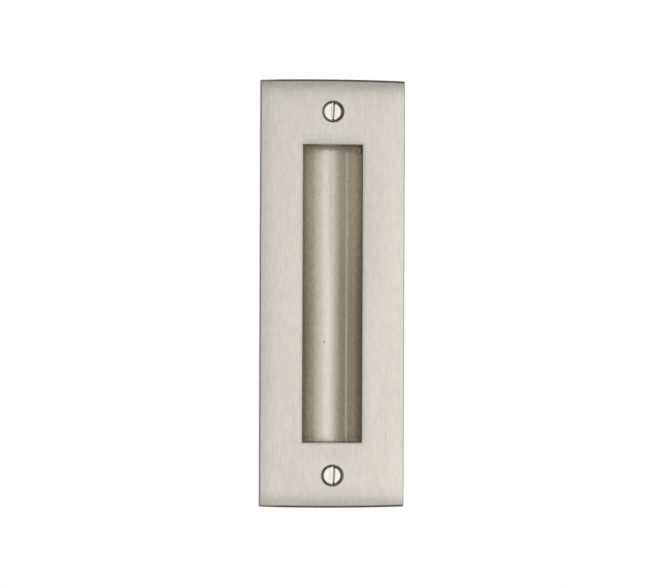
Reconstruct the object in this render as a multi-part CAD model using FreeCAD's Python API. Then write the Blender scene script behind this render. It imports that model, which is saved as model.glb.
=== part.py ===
import FreeCAD, Part
import math
import os
from FreeCAD import Vector

# Rectangular flush pull for a sliding pocket door, in millimetres.
# A thick face plate has a rectangular opening. A half-round trough, closed by
# an end cap at the top and at the bottom, is brazed into a seat in its back.
# Two slotted countersunk wood screws hold the plate to the door.
# The plate's back lies in the plane Y = 0 and its face looks along -Y.
# +Z is up, and the origin is the middle of the plate's back.

# Opening for the fingers
opening_length = 105.5
opening_width = 21.0
opening_corner_radius = 0.3
opening_edge_radius = 0.2

# Face plate
end_border = 23.25  # plate above and below the opening
side_border = 15.25  # and on its left and right
plate_thickness = 3.0
end_bow = 0.4  # each short end stands this much proud at its middle
edge_radius = 0.6  # rounding round the front of the plate and of its corners
end_roll_run = 10.0  # the face falls away towards the short ends over this run
end_roll_drop = 0.5
side_roll_run = 8.0  # and, less, towards the long sides
side_roll_drop = 0.3
crown_degree = 3  # the fall is a cubic, so it begins smoothly

# Half-round cup behind the opening
cup_side_gap = 0.5  # the trough stands back from the opening's long edges
cup_end_gap = 0.3  # and the caps from its short edges
cup_leg = 1.2  # straight part of the trough's wall, before the curve
cup_wall = 1.2
cap_thickness = 1.5
cap_rim_break = 0.4  # bevel round the outer face of each cap, for the braze
seat_depth = 1.2  # rebate in the plate's back that takes the cup
braze_gap = 0.05  # room for solder between cup, caps and seat

# Stretch of the joint at the upper right corner that the solder didn't fill
void_radius = 0.5
void_length = 3.6
void_angle = 24.0  # degrees round the curve from its right-hand end

# Screws
screw_inset = 11.5  # from the plate's end to the screw
screw_head_diameter = 6.5
screw_head_land = 0.35  # straight rim above the cone
screw_head_break = 0.25  # rounding of the head's rim
screw_shank_diameter = 3.5
screw_core_diameter = 2.4
screw_length = 19.0
screw_plain_length = 6.5  # from the top of the head to the thread
screw_point_length = 3.2
screw_point_diameter = 0.3
screw_slot_width = 1.15
screw_slot_depth = 1.0

# Screw holes. The cones of hole and head are at 45 degrees, so a step in
# radius is the same step in depth.
countersink_diameter = 7.7
screw_hole_diameter = 4.0
screw_seat_gap = 0.02

cut_margin = 1.0  # how far a cutting body runs past what it cuts

# Sizes and places that follow
plate_length = opening_length + 2 * end_border
plate_width = opening_width + 2 * side_border
face_y = -plate_thickness
seat_y = -seat_depth
curve_y = seat_y + cup_leg
cup_inner_radius = opening_width / 2 + cup_side_gap
cup_outer_radius = cup_inner_radius + cup_wall
cup_inner_length = opening_length + 2 * cup_end_gap
cup_length = cup_inner_length + 2 * cap_thickness
countersink_depth = (countersink_diameter - screw_hole_diameter) / 2
head_radius = screw_head_diameter / 2
head_rim_y = face_y + countersink_diameter / 2 - head_radius - screw_seat_gap
head_top_y = head_rim_y - screw_head_land
screw_height = plate_length / 2 - screw_inset
screw_heights = [screw_height, -screw_height]

into_door = Vector(0, 1, 0)
upwards = Vector(0, 0, 1)


def block(width, height, low_y, high_y):
    """Upright block centred on the origin in X and Z, between two depths."""
    corner = Vector(-width / 2, low_y, -height / 2)
    return Part.makeBox(width, high_y - low_y, height, corner)


def closed_face(edges):
    return Part.Face(Part.Wire([edge.toShape() for edge in edges]))


def edges_along(shape, direction):
    """Straight edges of a shape that run along a direction."""
    return [
        edge
        for edge in shape.Edges
        if isinstance(edge.Curve, Part.Line)
        and edge.tangentAt(edge.FirstParameter).cross(direction).Length < 0.001
    ]


def front_edges(shape, widest):
    """Edges near the face that reach no further than widest to left and right."""
    found = []
    for edge in shape.Edges:
        box = edge.BoundBox
        middle_y = (box.YMin + box.YMax) / 2
        if middle_y < face_y * 2 / 3 and max(-box.XMin, box.XMax) < widest:
            found.append(edge)
    return found


def plate_blank():
    """Flat plate whose short ends bow outwards."""
    half_width = plate_width / 2
    end_z = plate_length / 2
    corner_z = end_z - end_bow
    top_left = Vector(-half_width, 0, corner_z)
    top_right = Vector(half_width, 0, corner_z)
    low_left = Vector(-half_width, 0, -corner_z)
    low_right = Vector(half_width, 0, -corner_z)
    outline = closed_face([
        Part.Arc(top_left, Vector(0, 0, end_z), top_right),
        Part.LineSegment(top_right, low_right),
        Part.Arc(low_right, Vector(0, 0, -end_z), low_left),
        Part.LineSegment(low_left, top_left),
    ])
    return outline.extrude(into_door * face_y)


def roll_off(half_size, run, drop):
    """Pole places, their falls and the knots of a line that is level in the
    middle and falls away at both ends.

    The fall is a cubic. It reaches the drop at half_size and goes on past it
    by the cutting margin.
    """
    reach = half_size + cut_margin
    level = half_size - run
    fall = drop * ((run + cut_margin) / run) ** crown_degree
    bend = ((crown_degree - 1) * reach + level) / crown_degree
    inner = reach / crown_degree
    places = [-reach, -bend, -inner, inner, bend, reach]
    falls = [fall, 0.0, 0.0, 0.0, 0.0, fall]
    knots = [-reach, -level, level, reach]
    return places, falls, knots


def crown_cutter():
    """Body in front of the plate, whose back is the crowned face."""
    across, side_falls, across_knots = roll_off(
        plate_width / 2, side_roll_run, side_roll_drop
    )
    along, end_falls, along_knots = roll_off(
        plate_length / 2, end_roll_run, end_roll_drop
    )
    poles = [
        [
            Vector(x, face_y + side_fall + end_fall, z)
            for z, end_fall in zip(along, end_falls)
        ]
        for x, side_fall in zip(across, side_falls)
    ]
    knot_counts = [crown_degree + 1, 1, 1, crown_degree + 1]
    crown = Part.BSplineSurface()
    crown.buildFromPolesMultsKnots(
        poles, knot_counts, knot_counts, across_knots, along_knots,
        False, False, crown_degree, crown_degree,
    )
    return crown.toShape().extrude(into_door * -plate_thickness)


def screw_hole(height):
    """Body that cuts one countersunk hole."""
    hole_radius = screw_hole_diameter / 2
    front_y = face_y - cut_margin
    profile = [
        Vector(0, front_y, 0),
        Vector(countersink_diameter / 2 + cut_margin, front_y, 0),
        Vector(hole_radius, face_y + countersink_depth, 0),
        Vector(hole_radius, cut_margin, 0),
        Vector(0, cut_margin, 0),
    ]
    lines = [
        Part.LineSegment(start, end)
        for start, end in zip(profile, profile[1:] + profile[:1])
    ]
    return turned(closed_face(lines), height)


def turned(section, height):
    """Half section turned about an axis that runs into the door."""
    body = section.revolve(Vector(0, 0, 0), into_door, 360)
    return body.translate(Vector(0, 0, height))


def face_plate():
    """Plate with a crowned face, rounded edges, opening, seat and holes."""
    plate = plate_blank().cut(crown_cutter())
    outer_edges = front_edges(plate, plate_width) + edges_along(plate, into_door)
    plate = plate.makeFillet(edge_radius, outer_edges)
    opening = block(opening_width, opening_length, face_y - cut_margin, cut_margin)
    opening = opening.makeFillet(opening_corner_radius, edges_along(opening, into_door))
    plate = plate.cut(opening)
    rim_edges = front_edges(plate, opening_width / 2 + opening_edge_radius)
    plate = plate.makeFillet(opening_edge_radius, rim_edges)
    seat_width = 2 * (cup_outer_radius + braze_gap)
    seat_length = cup_length + 2 * braze_gap
    plate = plate.cut(block(seat_width, seat_length, seat_y, cut_margin))
    for height in screw_heights:
        plate = plate.cut(screw_hole(height))
    return plate


def cup_section(radius, low_y):
    """Half-round section with straight legs, closed across its mouth."""
    left = Vector(-radius, low_y, 0)
    right = Vector(radius, low_y, 0)
    left_knee = Vector(-radius, curve_y, 0)
    right_knee = Vector(radius, curve_y, 0)
    return closed_face([
        Part.LineSegment(left, right),
        Part.LineSegment(right, right_knee),
        Part.Arc(right_knee, Vector(0, curve_y + radius, 0), left_knee),
        Part.LineSegment(left_knee, left),
    ])


def standing(section, height, middle_z=0.0):
    """Section drawn out upwards, centred on a height."""
    body = section.extrude(upwards * height)
    return body.translate(Vector(0, 0, middle_z - height / 2))


def finger_trough():
    """Half-round trough, open at the front and at both ends."""
    outside = standing(cup_section(cup_outer_radius, seat_y), cup_length)
    inside = standing(
        cup_section(cup_inner_radius, seat_y - cut_margin),
        cup_length + 2 * cut_margin,
    )
    angle = math.radians(void_angle)
    void_foot = Vector(
        cup_inner_radius * math.cos(angle),
        curve_y + cup_inner_radius * math.sin(angle),
        cup_inner_length / 2 - void_length,
    )
    void = Part.makeCylinder(
        void_radius, void_length + cap_thickness / 2, void_foot, upwards
    )
    return outside.cut(inside).cut(void)


def end_cap(side):
    """D-shaped cap inside one end of the trough. side is 1 above, -1 below."""
    section = cup_section(cup_inner_radius - braze_gap, seat_y)
    middle_z = side * (cup_inner_length + cap_thickness) / 2
    cap = standing(section, cap_thickness, middle_z)
    outer_z = side * cup_length / 2
    curved = [edge for edge in cap.Edges if isinstance(edge.Curve, Part.Circle)]
    outer_curve = [edge for edge in curved if abs(edge.CenterOfMass.z - outer_z) < 0.001]
    return cap.makeChamfer(cap_rim_break, outer_curve)


def wood_screw(height):
    """Countersunk wood screw, turned, then slotted upright."""
    shank = screw_shank_diameter / 2
    core = screw_core_diameter / 2
    tip = screw_point_diameter / 2
    cone_end = head_rim_y + head_radius - shank
    thread_y = head_top_y + screw_plain_length
    tip_y = head_top_y + screw_length
    half_break = screw_head_break * (1 - math.sqrt(0.5))
    rim_start = Vector(head_radius - screw_head_break, head_top_y, 0)
    rim_middle = Vector(head_radius - half_break, head_top_y + half_break, 0)
    rim_end = Vector(head_radius, head_top_y + screw_head_break, 0)
    below_rim = [
        rim_end,
        Vector(head_radius, head_rim_y, 0),
        Vector(shank, cone_end, 0),
        Vector(shank, thread_y, 0),
        Vector(core, thread_y + shank - core, 0),
        Vector(core, tip_y - screw_point_length, 0),
        Vector(tip, tip_y, 0),
        Vector(0, tip_y, 0),
        Vector(0, head_top_y, 0),
        rim_start,
    ]
    lines = [Part.LineSegment(start, end) for start, end in zip(below_rim, below_rim[1:])]
    rim = Part.Arc(rim_start, rim_middle, rim_end)
    slot = block(
        screw_slot_width,
        screw_head_diameter + cut_margin,
        head_top_y - cut_margin,
        head_top_y + screw_slot_depth,
    )
    screw = turned(closed_face([rim] + lines), 0).cut(slot)
    return screw.translate(Vector(0, 0, height))


nodes = {
    "face_plate": face_plate(),
    "finger_trough": finger_trough(),
    "upper_end_cap": end_cap(1),
    "lower_end_cap": end_cap(-1),
    "fixing_screws": Part.makeCompound([wood_screw(height) for height in screw_heights]),
}

os.makedirs("parts", exist_ok=True)
for name, shape in nodes.items():
    shape.exportStep("parts/" + name + ".step")
    print(name, "valid", shape.isValid(), "volume", round(shape.Volume, 1))
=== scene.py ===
import math

import bmesh
import bpy
from mathutils import Matrix, Vector
from mathutils import noise as handNoise


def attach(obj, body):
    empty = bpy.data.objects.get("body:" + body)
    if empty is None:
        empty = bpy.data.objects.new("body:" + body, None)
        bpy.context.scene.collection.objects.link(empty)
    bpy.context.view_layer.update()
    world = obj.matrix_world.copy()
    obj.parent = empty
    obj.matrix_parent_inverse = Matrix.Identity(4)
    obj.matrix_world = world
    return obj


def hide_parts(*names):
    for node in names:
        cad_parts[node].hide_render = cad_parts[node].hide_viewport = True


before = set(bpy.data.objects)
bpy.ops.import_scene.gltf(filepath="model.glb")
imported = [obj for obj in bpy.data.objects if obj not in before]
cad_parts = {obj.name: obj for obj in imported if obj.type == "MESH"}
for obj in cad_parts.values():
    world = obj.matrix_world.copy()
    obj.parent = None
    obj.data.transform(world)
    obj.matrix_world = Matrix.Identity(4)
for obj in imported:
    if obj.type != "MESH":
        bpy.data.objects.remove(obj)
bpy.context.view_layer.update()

mm = 0.001

print("frame loaded")


# Shader nodes: maths on a Reckoner adds Math nodes, add() makes any other node
class Reckoner:
    def __init__(self, tree, socket=None):
        self.tree = tree
        self.socket = socket

    def add(self, kind, settings=None, sockets=None):
        made = self.tree.nodes.new(kind)
        for name, value in (settings or {}).items():
            setattr(made, name, value)
        for name, value in (sockets or {}).items():
            target = made.inputs[name]
            if isinstance(value, Reckoner):
                self.tree.links.new(value.socket, target)
            else:
                target.default_value = value
        return made

    def of(self, made, output=0):
        return Reckoner(self.tree, made.outputs[output])

    def maths(self, operation, *terms, clamp=False):
        settings = {"operation": operation, "use_clamp": clamp}
        return self.of(self.add("ShaderNodeMath", settings, dict(enumerate(terms))))

    def __add__(self, other):
        return self.maths("ADD", self, other)

    def __radd__(self, other):
        return self.maths("ADD", other, self)

    def __sub__(self, other):
        return self.maths("SUBTRACT", self, other)

    def __rsub__(self, other):
        return self.maths("SUBTRACT", other, self)

    def __mul__(self, other):
        return self.maths("MULTIPLY", self, other)

    def __rmul__(self, other):
        return self.maths("MULTIPLY", other, self)

    def __truediv__(self, other):
        return self.maths("DIVIDE", self, other)

    def size(self):
        return self.maths("ABSOLUTE", self)

    def root(self):
        return self.maths("SQRT", self)

    def smooth(self, low, high):
        # 0 below low, 1 above high, with a soft step between
        settings = {"interpolation_type": "SMOOTHSTEP"}
        sockets = {"Value": self, "From Min": low, "From Max": high}
        return self.of(self.add("ShaderNodeMapRange", settings, sockets))

    def clamped(self):
        return self.maths("ADD", self, 0.0, clamp=True)


def newMaterial(name):
    material = bpy.data.materials.new(name)
    material.use_nodes = True
    tree = material.node_tree
    tree.nodes.clear()
    sheet = Reckoner(tree)
    shader = sheet.add("ShaderNodeBsdfPrincipled")
    output = sheet.add("ShaderNodeOutputMaterial")
    tree.links.new(shader.outputs[0], output.inputs[0])
    return material, sheet, shader


def place(sheet):
    # the point on the object in millimetres, as three numbers
    coordinate = sheet.of(sheet.add("ShaderNodeTexCoord"), "Object")
    parts = sheet.add("ShaderNodeSeparateXYZ", None, {0: coordinate})
    return [sheet.of(parts, axis) / mm for axis in "XYZ"], coordinate


def grain(sheet, coordinate, width, length, detail=2.0, rough=0.5, seed=0.0):
    # grain width mm wide and length mm long, drawn out upwards, from -1 to 1
    scale = (1 / (width * mm), 1 / (width * mm), 1 / (length * mm))
    mapping = {"Vector": coordinate, "Location": (seed, seed, seed), "Scale": scale}
    mapped = sheet.of(sheet.add("ShaderNodeMapping", None, mapping))
    sockets = {"Vector": mapped, "Scale": 1.0, "Detail": detail, "Roughness": rough}
    made = sheet.add("ShaderNodeTexNoise", {"noise_dimensions": "3D"}, sockets)
    return sheet.of(made, "Fac") * 2.0 - 1.0


def tinted(sheet, color, level):
    # a colour made lighter or darker by a number about 1
    sockets = {0: color, "Scale": level}
    scaled = sheet.add("ShaderNodeVectorMath", {"operation": "SCALE"}, sockets)
    return sheet.of(scaled)


def addBump(sheet, shader, rise, depth):
    # small ridges and dents, depth in mm
    sockets = {"Height": rise * (depth * mm), "Strength": 1.0, "Distance": 1.0}
    bump = sheet.add("ShaderNodeBump", None, sockets)
    sheet.tree.links.new(bump.outputs[0], shader.inputs["Normal"])


brushing = {
    # what plate, trough, caps and solder have in common
    "streakSeed": 3.1,
    "cloudSeed": 7.7,
    "streakRough": 0.03,  # how far the roughness wanders with each kind of grain
    "lineRough": 0.03,
    "cloudRough": 0.02,
}


def brushedShader(look, name):
    # a metal with drawn-out grain, streaks and clouds
    material, sheet, shader = newMaterial(name)
    spot, coordinate = place(sheet)
    lines = grain(sheet, coordinate, look["lineWidth"], look["lineLength"], *look["lineFine"])
    streaks = grain(sheet, coordinate, look["streakWidth"], look["streakLength"],
                    seed=brushing["streakSeed"])
    clouds = grain(sheet, coordinate, look["cloudSize"], look["cloudSize"],
                   seed=brushing["cloudSeed"])
    shade = 1.0 + streaks * look["streakShade"] + clouds * look["cloudShade"]
    shade = shade + lines * look["lineShade"]
    rough = look["roughness"] + streaks * brushing["streakRough"]
    rough = rough + lines * brushing["lineRough"] + clouds * brushing["cloudRough"]
    addBump(sheet, shader, lines, look["lineDepth"])
    shader.inputs["Metallic"].default_value = 1.0
    shader.inputs["Anisotropic"].default_value = look["anisotropy"]
    return material, sheet, shader, spot, shade, rough


def connect(sheet, shader, color, rough):
    sheet.tree.links.new(color.socket, shader.inputs["Base Color"])
    sheet.tree.links.new(rough.clamped().socket, shader.inputs["Roughness"])


def blended(sheet, share, first, second):
    # from the first colour to the second as the share goes from 0 to 1
    first, second = [color if isinstance(color, Reckoner) else (*color, 1.0)
                     for color in (first, second)]
    sockets = {0: share, 6: first, 7: second}  # a Mix node has its colours at 6 and 7
    return sheet.of(sheet.add("ShaderNodeMix", {"data_type": "RGBA"}, sockets), 2)


plateLook = {
    "color": (0.606, 0.58, 0.514),
    "roughness": 0.27,
    "anisotropy": 0.8,
    "lineWidth": 0.9,  # mm
    "lineLength": 4.0,
    "lineFine": (3.0, 0.6),  # how many finer lines, and how strong
    "lineDepth": 0.0015,  # mm
    "lineShade": 0.2,
    "streakWidth": 1.2,
    "streakLength": 38.0,
    "streakShade": 0.04,
    "cloudSize": 9.0,
    "cloudShade": 0.02,
    "opening": (10.5, 52.75),  # half its width and height, mm
    "lipWidth": 1.1,  # painted shade along the opening's edge
    "lipShade": 0.80,
    "upperWall": 0.6,  # painted shade on the opening's upper wall, which looks down
    "wallEdge": (0.08, 0.1),  # mm that it reaches outwards and down
    "lipInside": 1.0,  # mm inside the opening where the painted shades below begin
    "lipCorner": 0.5,  # how far each fades past the corners, as a share of its width
    "lips": (
        # painted shade beside the opening: its side, from and to in mm outside it, shade there
        ("right", 0.15, 0.45, 0.4),  # painted shade on the rounded edge itself
        ("right", 0.5, 2.0, 0.88),
        ("right", 0.0, 5.0, 0.93),
        ("above", 0.0, 4.8, 0.83),
        ("below", 0.6, 1.2, 0.93),
        ("below", 2.0, 9.0, 0.95),
    ),
    "sinkRight": (0.18, 0.40),  # painted shade round the upper and the lower screw, its middle mm right
    "sinkHeight": 64.5,
    "sinkTurn": 1.0,  # mm from the middle where one gives way to the other
    "sinkRadius": (3.88, 4.06),
    # brownish tint of the countersinks' painted shade
    "sinkColor": (1.0, 0.97, 0.90),
    "sinkShade": (0.62, 1.0),  # at its sides, and above and below
    "sinkUpright": (0.5, 0.95),  # from the one to the other, as shares of the radius
    "sinkRough": 0.35,
    "sinkDepth": (-0.6, -0.3),
    "ends": (76.0, 0.4, 25.75),  # how far up, bow and half width, mm
    "endLine": (0.62, 1.0),  # painted shade along the front of both ends, mm in from them
    "endFront": (-2.1, -1.7),
    "endFade": (16.0, 25.0, 0.5),  # and weaker towards the left, from, to, by how much
    "endShade": 0.34,
    "turned": (0.90, 0.991),  # how squarely a face looks forward, from edge to flat
    "leftShade": 0.78,  # painted shade on the edge that looks left
    "leftward": (0.2, 0.5),  # how squarely a face has to look left for it
    "pale": (
        # painted light and painted shade in broad patches: mm right, mm up, half its width and
        # height, how much brighter
        (-25.5, -74.0, 11.0, 44.0, 0.075),
        (24.5, -74.0, 15.0, 34.0, 0.055),
        (12.5, -71.0, 5.0, 14.0, 0.035),
        (-25.5, 74.0, 9.0, 18.0, 0.04),
        (-3.0, 74.0, 10.0, 7.0, 0.03),
        (14.5, 24.0, 5.5, 42.0, -0.055),
    ),
}


def awayFrom(x, z, right, up):
    # distance from a point on the face, in mm
    across = x - right
    along = z - up
    return (across * across + along * along).root()


def openingShade(sheet, shade, x, z, look):
    # painted shade along the opening's edge, on its upper wall and on the face beside it
    wide, tall = look["opening"]
    outside = sheet.maths("MAXIMUM", x.size() - wide, z.size() - tall)
    lip = 1.0 - outside.smooth(0.0, look["lipWidth"])
    shade = shade * (1.0 - lip * (1.0 - look["lipShade"]))
    outwards, down = look["wallEdge"]
    wall = (1.0 - outside.smooth(0.0, outwards)) * z.smooth(tall - down, tall)
    shade = shade * (1.0 - wall * (1.0 - look["upperWall"]))
    sides = {
        "right": (x - wide, z.size() - tall),
        "above": (z - tall, x.size() - wide),
        "below": (0.0 - z - tall, x.size() - wide),
    }
    for side, start, end, shaded in look["lips"]:
        out, past = sides[side]
        corner = look["lipCorner"] * end
        near = out.smooth(-look["lipInside"], 0.0) * (1.0 - out.smooth(start, end))
        near = near * (1.0 - past.smooth(-corner, corner))
        shade = shade * (1.0 - near * (1.0 - shaded))
    return shade


def sinkShade(shade, x, y, z, look):
    # painted shade in both countersinks; also gives where they are
    upper, lower = look["sinkRight"]
    right = lower + z.smooth(-look["sinkTurn"], look["sinkTurn"]) * (upper - lower)
    up = look["sinkHeight"]
    start, end = look["sinkRadius"]
    sink = 1.0 - awayFrom(x, z.size(), right, up).smooth(start, end)
    sink = sink * (1.0 - y.smooth(*look["sinkDepth"]))
    beside, above = look["sinkShade"]
    upright = (z.size() - up).size().smooth(*[end * share for share in look["sinkUpright"]])
    return shade * (1.0 + sink * (beside - 1.0 + upright * (above - beside))), sink


def edgeShade(sheet, shade, x, y, z, look):
    # painted shade along the plate's two ends and on the edge that looks left
    normal = sheet.of(sheet.add("ShaderNodeTexCoord"), "Normal")
    facing = sheet.add("ShaderNodeSeparateXYZ", None, {0: normal})
    forward = 0.0 - sheet.of(facing, "Y")
    turned = 1.0 - forward.smooth(*look["turned"])
    high, bow, half = look["ends"]
    toEnd = high - x * x * (bow / half ** 2) - z.size()
    ends = (1.0 - toEnd.smooth(*look["endLine"])) * (1.0 - y.smooth(*look["endFront"]))
    start, end, weaker = look["endFade"]
    ends = ends * (1.0 - (0.0 - x).smooth(start, end) * weaker)
    left = turned * (0.0 - sheet.of(facing, "X")).smooth(*look["leftward"])
    shade = shade * (1.0 - ends * (1.0 - look["endShade"]))
    return shade * (1.0 - left * (1.0 - look["leftShade"]))


def paintedLightPatches(shade, x, z, look):
    # painted light and painted shade in broad places on the face
    for right, up, halfWide, halfTall, brighter in look["pale"]:
        across = ((x - right) / halfWide).size().smooth(0.0, 1.0)
        along = ((z - up) / halfTall).size().smooth(0.0, 1.0)
        shade = shade * (1.0 + (1.0 - across) * (1.0 - along) * brighter)
    return shade


def brushedPlate(name, look):
    material, sheet, shader, (x, y, z), shade, rough = brushedShader(look, name)
    shade = openingShade(sheet, shade, x, z, look)
    shade, sink = sinkShade(shade, x, y, z, look)
    shade = edgeShade(sheet, shade, x, y, z, look)
    shade = paintedLightPatches(shade, x, z, look)
    base = blended(sheet, sink, (1.0, 1.0, 1.0), look["sinkColor"])
    sockets = {0: base, 1: tinted(sheet, look["color"], shade)}
    base = sheet.of(sheet.add("ShaderNodeVectorMath", {"operation": "MULTIPLY"}, sockets))
    connect(sheet, shader, base, rough + sink * look["sinkRough"])
    return material


troughLook = {
    "color": (0.672, 0.633, 0.550),
    # mm from the middle where one colour turns into the next, and that colour; the browner ones
    # are partly painted, for the tint of light reflected between the walls
    "left": (2.0, 6.0, (0.672, 0.633, 0.505)),
    "shoulder": (0.3, 3.8, (0.698, 0.633, 0.500)),
    "right": (5.0, 7.4, (0.700, 0.633, 0.572)),
    "farRight": (8.6, 10.4, (0.738, 0.633, 0.530)),
    "leftPaintedShade": (6.5, 9.3, 0.42),  # painted shade toward the left wall: from, to, and how much darker it gets there
    "rightPaintedShade": (5.2, 10.8, 0.36),
    "roughness": 0.272,
    "anisotropy": 0.9,
    "lineWidth": 0.45,
    "lineLength": 3.8,
    "lineFine": (4.0, 0.78),
    "lineDepth": 0.0005,
    "lineShade": 0.24,
    "streakWidth": 1.0,
    "streakLength": 45.0,
    "streakShade": 0.06,
    "cloudSize": 3.0,
    "cloudShade": 0.015,
    "upper": (-15.0, 38.0),  # mm up; above this the painted light and shade in the bands change
    "paintedLightBands": (
        # painted light and shade in bands: mm right, half its width, how much brighter below and
        # above
        (-9.5, 2.2, 0.0, 0.18),
        (-8.4, 1.1, 0.05, 0.07),
        (-6.0, 5.0, 0.0, 0.08),
        (-5.3, 1.3, 0.06, 0.09),
        (-3.5, 1.3, -0.05, -0.09),
        (0.0, 1.5, 0.02, -0.11),
        (2.1, 1.7, 0.12, 0.17),
        (4.9, 1.5, -0.08, -0.03),
        (6.05, 0.5, 0.08, -0.02),
        (7.5, 6.6, 0.0, 0.15),
        (8.8, 1.4, 0.11, 0.13),
        (10.1, 1.5, -0.1, 0.13),
    ),
    "nearUpper": (50.7, 51.9, 0.42),  # painted light beside both caps: from, to, by how much brighter
    "nearLower": (51.2, 52.4, 0.3),
    "inner": (11.4, 11.7),  # the marks lie on the inside of the curve only
    "paintedRimReflection": (6.05, 0.3, 1.6),  # painted highlight for the reflection of the opening's left rim: mm right, half its width, how much brighter
    "speck": (-1.8, -17.2, 0.26),  # mm right, mm up, radius
    "cornerDark": (10.35, 49.9, 0.62),  # darker in the upper right corner: from mm right and from mm up, how dark
    "hook": (10.0, 50.1, 0.26, 0.35),
    "dark": (0.05, 0.042, 0.03),
    "darkRough": 0.4,
    "bandSoft": 0.3,  # share of a band's half width that has its full strength
    "lineSoft": (0.3, 1.6),  # shares of that painted highlight's half width: full up to, gone at
    "spotSoft": (0.5, 1.3),  # the same for speck and hook, as shares of the radius
    "cornerDarkSoft": (0.25, 0.3, 0.5),  # mm beside, below and above the dark corner's edge
}


def troughMarks(sheet, x, z, look):
    # the speck, the darker upper right corner and its hook
    full, gone = look["spotSoft"]
    right, up, radius = look["speck"]
    speck = 1.0 - awayFrom(x, z, right, up).smooth(radius * full, radius * gone)
    right, low, depth = look["cornerDark"]
    beside, below, above = look["cornerDarkSoft"]
    cornerDark = x.smooth(right - beside, right + beside)
    cornerDark = cornerDark * z.smooth(low - below, low + above) * depth
    right, up, radius, depth = look["hook"]
    hook = (1.0 - awayFrom(x, z, right, up).smooth(radius * full, radius * gone)) * depth
    return sheet.maths("MAXIMUM", speck, sheet.maths("MAXIMUM", cornerDark, hook))


def drawnTrough(name, look):
    material, sheet, shader, (x, y, z), shade, rough = brushedShader(look, name)
    inside = 1.0 - awayFrom(x, y, 0.0, 0.0).smooth(*look["inner"])
    leftward = 0.0 - x
    base = look["color"]
    for side, key in ((leftward, "left"), (x, "shoulder"), (x, "right"), (x, "farRight")):
        start, end, color = look[key]
        base = blended(sheet, side.smooth(start, end) * inside, base, color)
    # painted shade toward both walls of the trough
    for side, key in ((leftward, "leftPaintedShade"), (x, "rightPaintedShade")):
        start, end, paintedDark = look[key]
        shade = shade * (1.0 - side.smooth(start, end) * inside * paintedDark)
    upper = z.smooth(*look["upper"])
    for right, half, below, above in look["paintedLightBands"]:
        band = (1.0 - (x - right).size().smooth(half * look["bandSoft"], half)) * inside
        shade = shade * (1.0 + band * (upper * (above - below) + below))
    for side, key in ((z, "nearUpper"), (0.0 - z, "nearLower")):
        start, end, brighter = look[key]
        shade = shade * (1.0 + side.smooth(start, end) * inside * brighter)
    # a painted highlight line, for the reflection of the opening's left rim
    right, half, level = look["paintedRimReflection"]
    full, gone = look["lineSoft"]
    line = 1.0 - (x - right).size().smooth(half * full, half * gone)
    base = tinted(sheet, base, shade * (1.0 + line * inside * (level - 1.0)))
    dark = inside * troughMarks(sheet, x, z, look)
    base = blended(sheet, dark, base, look["dark"])
    connect(sheet, shader, base, rough + dark * look["darkRough"])
    return material


capLook = {
    "color": (0.74, 0.70, 0.62),
    "upperFace": (50.0, 52.0, 53.4, 54.2),  # mm up, the inside of the upper cap
    "upperPaintedLight": (0.44, 0.402, 0.322),  # painted shade: darker there, as that face looks down, away from the light
    "upperRough": 0.34,
    "roughness": 0.2,
    "anisotropy": 0.0,
    "lineWidth": 0.3,
    "lineLength": 0.9,
    "lineFine": (3.0, 0.6),
    "lineDepth": 0.004,
    "lineShade": 0.03,
    "streakWidth": 2.5,
    "streakLength": 2.5,
    "streakShade": 0.05,
    "cloudSize": 4.0,
    "cloudShade": 0.04,
}


def plainNickel(name, look):
    material, sheet, shader, spot, shade, rough = brushedShader(look, name)
    start, full, fade, end = look["upperFace"]
    upper = spot[2].smooth(start, full) * (1.0 - spot[2].smooth(fade, end))
    rough = rough + upper * look["upperRough"]
    # on the upper cap's inner face this colour is painted shade
    base = blended(sheet, upper, look["color"], look["upperPaintedLight"])
    connect(sheet, shader, tinted(sheet, base, shade), rough)
    return material


def dress(node, material):
    # a CAD node keeps its mesh and gets a better material in its slot
    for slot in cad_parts[node].material_slots:
        slot.material = material


dress("face_plate", brushedPlate("brushedPlate", plateLook))
dress("finger_trough", drawnTrough("drawnTrough", troughLook))
capMaterial = plainNickel("capsWithPaintedShade", capLook)
dress("upper_end_cap", capMaterial)
dress("lower_end_cap", capMaterial)
print("plate, trough and caps finished")

screwSizes = {
    # mm; y is counted from the plate's back into the door
    "heights": (64.5, -64.5),
    "aside": (-0.12, 0.14),  # the upper sits a little left, the lower a little right
    "headTop": -2.77,
    "headDiameter": 6.5,
    "rimWidth": 0.5,  # the edge of the head is rounded over this width
    "rimDrop": 0.33,
    "rimSteps": 6,
    "rimLand": 0.35,  # where its cone begins
    "shankDiameter": 3.5,
    "coreDiameter": 2.4,
    "threadStart": 3.73,
    "pitch": 1.41,
    "ridge": 0.3,  # half the width of the ridge, as a share of the pitch
    "pointLength": 3.2,
    "tipDiameter": 0.3,
    "taper": (1.6, 1.25, 0.02),  # how fast ridge and crest shrink, and the least crest
    "tip": 16.23,
    "slotWidth": 0.66,
    "slotAside": (0.38, 0.68),  # to the right
    "slotTurn": (3.5, 3.0),  # degrees, its top to the right
    "slotLips": (0.5, 0.06),  # how far its left and right lip are worn down
    "lipDepth": 0.213,
    "slotDepth": 1.0,
    "sawLength": 1.2,  # as a share of the head's diameter
    "weld": 0.0005,  # points of the cut nearer than this become one
    "sides": 40,
    "stepsPerTurn": 24,
}
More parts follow.
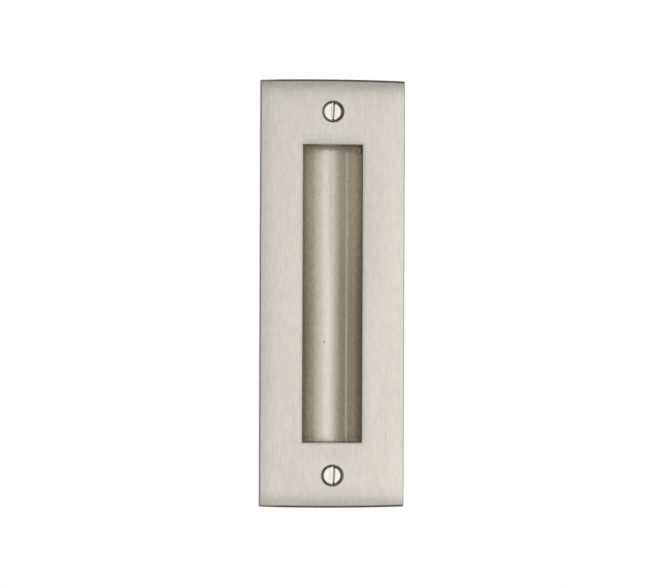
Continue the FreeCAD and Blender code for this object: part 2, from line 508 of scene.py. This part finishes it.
screwLook = {
    "color": (0.635, 0.615, 0.558),
    "roughness": 0.14,
    # painted shade on the slot's floor
    "slotShade": 0.45,
    "paintedSlotEdge": (-0.5, 0.16, 0.66),  # painted shade along the outer edge of the slot's left lip: mm right, half its width, shade
    "paintedSlotEdgeSoft": (0.4, 1.3),  # shares of its half width: full up to, gone at
    "slotFloor": (0.1, 0.9, 1.02, 1.1),  # mm deep: begins, full, until, gone
    "floorRough": 0.1,
    "speckSize": 0.5,
    "speckFine": 3.0,
    "speckSeed": 1.3,
    "speckShade": 0.03,
    "speckRough": 0.05,
}


def makeObject(name, mesh, material, sharp=35.0):
    # a finished mesh as a piece of the pull, smooth but for its sharp edges
    data = bpy.data.meshes.new(name)
    mesh.to_mesh(data)
    mesh.free()
    data.polygons.foreach_set("use_smooth", [True] * len(data.polygons))
    data.set_sharp_from_angle(angle=math.radians(sharp))
    data.materials.append(material)
    thing = bpy.data.objects.new(name, data)
    bpy.context.scene.collection.objects.link(thing)
    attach(thing, "root")
    return thing


def growRing(mesh, edges, height, root, crest, sizes, phase=0.0, turn=0.0):
    # the next ring of a turned shape; one whose crest is wider than its root is
    # a slice of the thread
    grown = bmesh.ops.extrude_edge_only(mesh, edges=edges)["geom"]
    points = [item for item in grown if isinstance(item, bmesh.types.BMVert)]
    bmesh.ops.rotate(mesh, verts=points, matrix=Matrix.Rotation(turn, 3, "Z"))
    for point in points:
        share = (math.atan2(point.co.y, point.co.x) - phase) / math.tau % 1.0
        rise = max(0.0, 1.0 - abs(share - 0.5) / sizes["ridge"])
        radius = root + (crest - root) * rise
        point.co.xy = point.co.xy.normalized() * radius
        point.co.z = height
    ring = [item for item in grown if isinstance(item, bmesh.types.BMEdge)]
    return points, ring


def headRings(sizes):
    # height and radius: round the rim, down the cone and along the bare shank
    head = sizes["headDiameter"] / 2
    shank = sizes["shankDiameter"] / 2
    rim = sizes["rimWidth"]
    drop = sizes["rimDrop"]
    rings = []
    for step in range(1, sizes["rimSteps"] + 1):
        angle = math.radians(90 * step / sizes["rimSteps"])
        rings.append((drop - drop * math.cos(angle), head - rim + rim * math.sin(angle)))
    rings.append((sizes["rimLand"], head))
    rings.append((sizes["rimLand"] + head - shank, shank))
    rings.append((sizes["threadStart"] - sizes["headTop"], shank))
    return rings


def rollThread(mesh, edges, sizes):
    # each ring turns a little, so its crest climbs in a helix
    shank = sizes["shankDiameter"] / 2
    core = sizes["coreDiameter"] / 2
    least = sizes["tipDiameter"] / 2
    threadStart = sizes["threadStart"] - sizes["headTop"]
    tip = sizes["tip"] - sizes["headTop"]
    stepTurn = math.tau / sizes["stepsPerTurn"]
    climb = sizes["pitch"] / sizes["stepsPerTurn"]
    ridgeTaper, crestTaper, leastCrest = sizes["taper"]
    phase = 0.0
    height = threadStart
    while height < tip - climb:
        height += climb
        phase += stepTurn
        runOut = min(1.0, (height - threadStart) / sizes["pitch"])
        thick = min(1.0, (tip - height) / sizes["pointLength"])
        root = (shank + (core - shank) * runOut) * thick + least * (1 - thick)
        crest = core + (shank - core) * min(1.0, thick * ridgeTaper)
        crest = max(root, crest * min(1.0, thick * crestTaper + leastCrest))
        points, edges = growRing(mesh, edges, height, root, crest, sizes, phase, stepTurn)
    bmesh.ops.pointmerge(mesh, verts=points, merge_co=(0, 0, tip))


def turnedScrew(sizes):
    # standing on its head: the head's top at z = 0, the tip above it
    mesh = bmesh.new()
    flat = sizes["headDiameter"] / 2 - sizes["rimWidth"]
    bmesh.ops.create_circle(mesh, cap_ends=True, radius=flat, segments=sizes["sides"])
    edges = list(mesh.edges)
    for height, radius in headRings(sizes):
        points, edges = growRing(mesh, edges, height, radius, radius, sizes)
    rollThread(mesh, edges, sizes)
    bmesh.ops.recalc_face_normals(mesh, faces=mesh.faces)
    return mesh


def cutSlot(mesh, sizes, aside):
    # a saw cut across the head, whose lips slope out to its mouth
    solid = bpy.data.objects.new("screwBlank", bpy.data.meshes.new("screwBlank"))
    mesh.to_mesh(solid.data)
    mesh.free()
    saw = bmesh.new()
    bmesh.ops.create_cube(saw, size=1.0)
    long = sizes["headDiameter"] * sizes["sawLength"]
    cut = Vector((sizes["slotWidth"], long, 2 * sizes["slotDepth"]))
    bmesh.ops.scale(saw, vec=cut, verts=saw.verts)
    lip = sizes["lipDepth"]
    whole = list(saw.verts) + list(saw.edges) + list(saw.faces)
    bmesh.ops.bisect_plane(saw, geom=whole, plane_co=(0, 0, lip), plane_no=(0, 0, 1))
    reach = (lip + sizes["slotDepth"]) / lip  # the slope is carried on outside the head
    left, right = sizes["slotLips"]
    for point in saw.verts:
        if point.co.z < 0:
            point.co.x += (right if point.co.x > 0 else -left) * reach
    bmesh.ops.translate(saw, verts=saw.verts, vec=(aside, 0, 0))
    tool = bpy.data.objects.new("sawCut", bpy.data.meshes.new("sawCut"))
    saw.to_mesh(tool.data)
    saw.free()
    for thing in (solid, tool):
        bpy.context.scene.collection.objects.link(thing)
    boolean = solid.modifiers.new("slot", "BOOLEAN")
    boolean.object = tool
    boolean.operation = "DIFFERENCE"
    boolean.solver = "EXACT"
    ready = solid.evaluated_get(bpy.context.evaluated_depsgraph_get())
    mesh = bmesh.new()
    mesh.from_mesh(ready.to_mesh())
    for thing in (solid, tool):
        bpy.data.objects.remove(thing)
    bmesh.ops.remove_doubles(mesh, verts=mesh.verts, dist=sizes["weld"])
    return mesh


def screwPair(sizes):
    # each screw is made standing up, then turned to point into the door
    pair = bmesh.new()
    upright = Matrix.Rotation(math.radians(-90), 4, "X")
    keys = ("aside", "heights", "slotAside", "slotTurn")
    for aside, height, slotAside, slotTurn in zip(*[sizes[key] for key in keys]):
        screw = cutSlot(turnedScrew(sizes), sizes, slotAside)
        spot = Matrix.Translation((aside, sizes["headTop"], height))
        turn = Matrix.Rotation(math.radians(slotTurn), 4, "Y")
        bmesh.ops.transform(screw, matrix=spot @ turn @ upright, verts=screw.verts)
        data = bpy.data.meshes.new("oneScrew")
        screw.to_mesh(data)
        screw.free()
        pair.from_mesh(data)
        bpy.data.meshes.remove(data)
    bmesh.ops.scale(pair, vec=(mm, mm, mm), verts=pair.verts)
    return pair


def brightNickel(name, look, headTop):
    material, sheet, shader = newMaterial(name)
    spot, coordinate = place(sheet)
    size = look["speckSize"]
    specks = grain(sheet, coordinate, size, size, look["speckFine"], seed=look["speckSeed"])
    depth = spot[1] - headTop
    start, full, until, gone = look["slotFloor"]
    slotFloor = depth.smooth(start, full) * (1.0 - depth.smooth(until, gone))
    shader.inputs["Metallic"].default_value = 1.0
    right, half, paintedDark = look["paintedSlotEdge"]
    full, gone = look["paintedSlotEdgeSoft"]
    paintedSlotEdge = 1.0 - (spot[0] - right).size().smooth(half * full, half * gone)
    shade = 1.0 + specks * look["speckShade"]
    shade = shade * (1.0 - (1.0 - look["slotShade"]) * slotFloor)
    shade = shade * (1.0 - (1.0 - paintedDark) * paintedSlotEdge)
    rough = look["roughness"] + specks * look["speckRough"] + slotFloor * look["floorRough"]
    connect(sheet, shader, tinted(sheet, look["color"], shade), rough)
    return material


screwMaterial = brightNickel("brightScrews", screwLook, screwSizes["headTop"])
screws = makeObject("fixingScrews", screwPair(screwSizes), screwMaterial)
weighted = screws.modifiers.new("flatFaces", "WEIGHTED_NORMAL")
weighted.keep_sharp = True
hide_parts("fixing_screws")
print("screws finished")

solderSizes = {
    # mm
    "troughRadius": 12.2,
    "capRadius": 11.0,
    "outerHeight": 54.55,  # outer face of each cap
    "innerHeight": 53.05,  # its inner face
    "fillet": 0.75,  # round the trough on the plate's back
    "filletSteps": 6,
    "cornerRound": 1.2,  # how round its corners are, as a share of it
    "cornerSteps": 5,
    "longEdge": 10.0,  # its edges longer than this are cut up, so that they can wander
    "longCuts": 36,
    "around": 180,  # degrees that trough and cap meet round
    "seamStep": 4,  # degrees
    "bead": 0.28,  # in the groove between trough and cap
    "beadSides": 10,
    "beadSunk": 0.7,  # share of it below the cap's outer face
    "beadInward": 0.15,
    "innerFillet": 0.3,  # between them, seen through the opening
    "innerSteps": 5,
    "unfilled": (14.0, 38.0),  # degrees round the curve, at the upper right
    "overlap": 0.08,  # how far solder reaches into what it holds
    "wander": 0.05,  # how uneven it is
    "wanderLength": 1.7,
}


def hollow(size, steps):
    # places and rises along a hollow fillet, from its foot to its top
    turns = [math.radians(90 * step / steps) for step in range(steps + 1)]
    return [(size * (1 - math.sin(turn)), size * (1 - math.cos(turn))) for turn in turns]


def plateFillet(mesh, sizes):
    # a ring of solder on the plate's back, round the foot of the trough
    profile = hollow(sizes["fillet"], sizes["filletSteps"])
    wide = sizes["troughRadius"] + sizes["fillet"] - sizes["wander"]
    tall = sizes["outerHeight"] + sizes["fillet"] - sizes["wander"]
    corners = bmesh.ops.create_grid(mesh, x_segments=1, y_segments=1, size=1.0)["verts"]
    bmesh.ops.scale(mesh, vec=(wide, tall, 1), verts=corners)
    bmesh.ops.bevel(mesh, geom=corners, offset=sizes["fillet"] * sizes["cornerRound"],
                    offset_type="OFFSET", segments=sizes["cornerSteps"], profile=0.5,
                    affect="VERTICES", material=-1)
    for (out, up), (nextOut, nextUp) in zip(profile, profile[1:]):
        middle = max(mesh.faces, key=lambda face: face.calc_area())
        bmesh.ops.inset_region(mesh, faces=[middle], thickness=out - nextOut, depth=nextUp - up,
                               use_boundary=True, use_even_offset=True)
    middle = max(mesh.faces, key=lambda face: face.calc_area())
    bmesh.ops.delete(mesh, geom=[middle], context="FACES_ONLY")
    longEdges = [edge for edge in mesh.edges if edge.calc_length() > sizes["longEdge"]]
    bmesh.ops.subdivide_edges(mesh, edges=longEdges, cuts=sizes["longCuts"], use_grid_fill=True)
    bmesh.ops.rotate(mesh, verts=mesh.verts, matrix=Matrix.Rotation(math.radians(-90), 3, "X"))
    bmesh.ops.solidify(mesh, geom=mesh.faces[:], thickness=sizes["overlap"])


def sweptSeam(mesh, profile, start, end, step):
    # a seam between trough and cap: its section, carried round the curve
    corners = [mesh.verts.new((radius, 0, height)) for radius, height in profile]
    section = mesh.faces.new(corners)
    geom = corners + list(section.edges) + [section]
    bmesh.ops.rotate(mesh, verts=corners, matrix=Matrix.Rotation(math.radians(start), 3, "Z"))
    steps = max(2, round((end - start) / step))
    bmesh.ops.spin(mesh, geom=geom, cent=(0, 0, 0), axis=(0, 0, 1), dvec=(0, 0, 0),
                   angle=math.radians(end - start), steps=steps, use_merge=False)


def capSeams(mesh, side, sizes):
    # between trough and one cap, outside and inside; side is 1 above and -1 below
    inside = sizes["capRadius"]
    size = sizes["bead"]
    beadHeight = sizes["outerHeight"] - size * sizes["beadSunk"]
    turns = [math.tau * step / sizes["beadSides"] for step in range(sizes["beadSides"])]
    bead = [(inside - sizes["beadInward"] + size * math.cos(turn),
             side * (beadHeight + size * math.sin(turn))) for turn in turns]
    sweptSeam(mesh, bead, 0, sizes["around"], sizes["seamStep"])
    face = sizes["innerHeight"]
    size = sizes["innerFillet"]
    deep = sizes["overlap"]
    curve = [(inside - out, side * (face - up)) for out, up in hollow(size, sizes["innerSteps"])]
    foot = [(inside + deep, side * (face - size)),
            (inside + deep, side * (face + deep)),
            (inside - size, side * (face + deep))]
    arcs = [(0, sizes["around"])]
    if side > 0:
        arcs = [(0, sizes["unfilled"][0]), (sizes["unfilled"][1], sizes["around"])]
    for start, end in arcs:
        sweptSeam(mesh, curve + foot, start, end, sizes["seamStep"])


def solderSeams(sizes):
    mesh = bmesh.new()
    plateFillet(mesh, sizes)
    for side in (1, -1):
        capSeams(mesh, side, sizes)
    for point in mesh.verts:
        point.co += handNoise.noise_vector(point.co / sizes["wanderLength"]) * sizes["wander"]
    bmesh.ops.scale(mesh, vec=(mm, mm, mm), verts=mesh.verts)
    bmesh.ops.recalc_face_normals(mesh, faces=mesh.faces)
    return mesh


solderLook = {
    "color": (0.60, 0.57, 0.50),
    # the inner seam at the upper cap: lighter there as painted light, and warmer in its own
    # colour
    "upperFace": (50.0, 52.0, 53.0, 53.6),
    "upperPaintedLight": (0.73, 0.66, 0.51),
    "upperRough": 0.1,
    "roughness": 0.42,
    "anisotropy": 0.0,
    "lineWidth": 0.25,
    "lineLength": 0.35,
    "lineFine": (3.0, 0.6),
    "lineDepth": 0.012,
    "lineShade": 0.05,
    "streakWidth": 1.2,
    "streakLength": 1.2,
    "streakShade": 0.12,
    "cloudSize": 3.0,
    "cloudShade": 0.08,
}
solder = makeObject("solderSeams", solderSeams(solderSizes),
                    plainNickel("solderedNickel", solderLook), sharp=50.0)
print("solder seams finished")

# Camera a little to the left and low, as in the photograph
camera = {
    "distance": 0.823,  # from the plate's back
    "height": -0.016,
    "aside": -0.0619,
    "turn": 4.3,  # degrees to the right, back to the plate
    "roll": 0.22,
    "pixelsPerMetre": 2820.0,  # of the frame's 665, at the plate
    "frame": (665, 587),
    "plateAt": (331.6, 293.7),  # pixel of the plate's middle
    "sensor": 36.0,  # mm
    "nearest": 0.01,
}


def addCamera(view):
    data = bpy.data.cameras.new("photoCamera")
    data.sensor_width = view["sensor"]
    focal = view["pixelsPerMetre"] * view["distance"]
    wide, tall = view["frame"]
    data.lens = focal * data.sensor_width / wide
    data.clip_start = view["nearest"]
    spot = Matrix.Translation((view["aside"], -view["distance"], view["height"]))
    level = Matrix.Rotation(math.radians(90), 4, "X")
    turn = Matrix.Rotation(math.radians(-view["turn"]), 4, "Z")
    roll = Matrix.Rotation(math.radians(view["roll"]), 4, "Z")
    placed = spot @ turn @ level @ roll
    middle = placed.inverted() @ Vector((0, 0, 0))
    right = middle.x / -middle.z * focal
    down = middle.y / middle.z * focal
    data.shift_x = (right - (view["plateAt"][0] - wide / 2)) / wide
    data.shift_y = ((view["plateAt"][1] - tall / 2) - down) / wide
    thing = bpy.data.objects.new("photoCamera", data)
    bpy.context.scene.collection.objects.link(thing)
    thing.matrix_world = placed
    bpy.context.scene.camera = thing


addCamera(camera)
print("camera set")

# The studio as the metal sees it: a dim room with a soft light round the camera, a
# soft panel to its right, and white behind. The camera sees white all round.
studio = {
    "room": 0.352,
    "panels": {
        # degrees to the right, half its width in degrees, softness, level
        "front": (9.7, 14.2, 0.98, 1.278),
        "right": (45.0, 12.1, 0.24, 1.17),
    },
    "rise": -0.5,  # degrees; both stand at one height
    "tall": (2.3, 27.5),  # full up to the first, gone at the second
    "back": 1.0,
    "backFrom": (0.25, 0.5),  # how squarely a face has to look back to see it
    "diffuse": 0.8,  # what the floor is lit by
}


def addStudio(values):
    world = bpy.data.worlds.new("studio")
    bpy.context.scene.world = world
    world.use_nodes = True
    tree = world.node_tree
    tree.nodes.clear()
    sheet = Reckoner(tree)
    direction = sheet.of(sheet.add("ShaderNodeTexCoord"), "Generated")
    parts = sheet.add("ShaderNodeSeparateXYZ", None, {0: direction})
    x, y, z = [sheet.of(parts, axis) for axis in "XYZ"]
    turn = sheet.maths("ARCTAN2", x, 0.0 - y) * (180 / math.pi)
    rise = sheet.maths("ARCSINE", z) * (180 / math.pi) - values["rise"]
    panels = 0.0
    for middle, wide, softness, level in values["panels"].values():
        apart = (turn - middle).size() / wide
        panels = (1.0 - apart.smooth(1 - softness, 1 + softness)) * level + panels
    front = panels * (1.0 - rise.size().smooth(*values["tall"])) + values["room"]
    behind = y.smooth(*values["backFrom"])
    seen = front + (values["back"] - front) * behind
    path = sheet.add("ShaderNodeLightPath")
    cameraRay = sheet.of(path, "Is Camera Ray")
    diffuseRay = sheet.of(path, "Is Diffuse Ray")
    strength = seen + (values["diffuse"] - seen) * diffuseRay
    strength = strength + (1.0 - strength) * cameraRay
    lit = sheet.add("ShaderNodeBackground", None, {"Color": (1, 1, 1, 1), "Strength": strength})
    output = sheet.add("ShaderNodeOutputWorld")
    tree.links.new(lit.outputs[0], output.inputs[0])


addStudio(studio)

# A pale round floor under the pull, which fades out at its rim, and a soft lamp above
floor = {
    "radius": 0.36,  # metres
    "height": -0.2,
    "color": (0.9, 0.9, 0.9),
    "fade": (0.17, 0.35),  # from solid to gone
    "roughness": 0.85,
    "speckle": 2.5,  # mm
    "speckleFine": 3.0,
    "speckleDepth": 0.05,  # mm
    "speckleShade": 0.01,
    "speckleRough": 0.05,
    "rimSteps": 96,
}
lamp = {
    "place": (-0.35, -0.45, 0.75),
    "width": 0.5,
    "watts": 2.4,
}


def floorMaterial(look):
    material, sheet, shader = newMaterial("paleFloor")
    spot, coordinate = place(sheet)
    speckle = grain(sheet, coordinate, look["speckle"], look["speckle"], look["speckleFine"])
    away = awayFrom(spot[0], spot[1], 0.0, 0.0) * mm
    addBump(sheet, shader, speckle, look["speckleDepth"])
    base = tinted(sheet, look["color"], 1.0 + speckle * look["speckleShade"])
    connect(sheet, shader, base, look["roughness"] + speckle * look["speckleRough"])
    sheet.tree.links.new((1.0 - away.smooth(*look["fade"])).socket, shader.inputs["Alpha"])
    shader.inputs["Specular IOR Level"].default_value = 0.0
    return material


def addFloor(look):
    mesh = bmesh.new()
    disc = bmesh.ops.create_circle(mesh, cap_ends=True, radius=look["radius"],
                                   segments=look["rimSteps"])
    bmesh.ops.translate(mesh, verts=disc["verts"], vec=(0, 0, look["height"]))
    bmesh.ops.recalc_face_normals(mesh, faces=mesh.faces)
    data = bpy.data.meshes.new("paleFloor")
    mesh.to_mesh(data)
    mesh.free()
    data.materials.append(floorMaterial(look))
    thing = bpy.data.objects.new("paleFloor", data)
    bpy.context.scene.collection.objects.link(thing)
    thing.visible_glossy = False  # the metal shows the studio alone


def addLamp(look, target):
    data = bpy.data.lights.new("softLamp", "AREA")
    data.shape = "DISK"
    data.size = look["width"]
    data.energy = look["watts"]
    thing = bpy.data.objects.new("softLamp", data)
    bpy.context.scene.collection.objects.link(thing)
    thing.location = look["place"]
    towards = Vector((0, 0, target)) - Vector(look["place"])
    thing.rotation_euler = towards.to_track_quat("-Z", "Y").to_euler()
    thing.visible_camera = False
    thing.visible_glossy = False


addFloor(floor)
addLamp(lamp, floor["height"])
bpy.context.scene.view_settings.view_transform = "Standard"
print("light set")
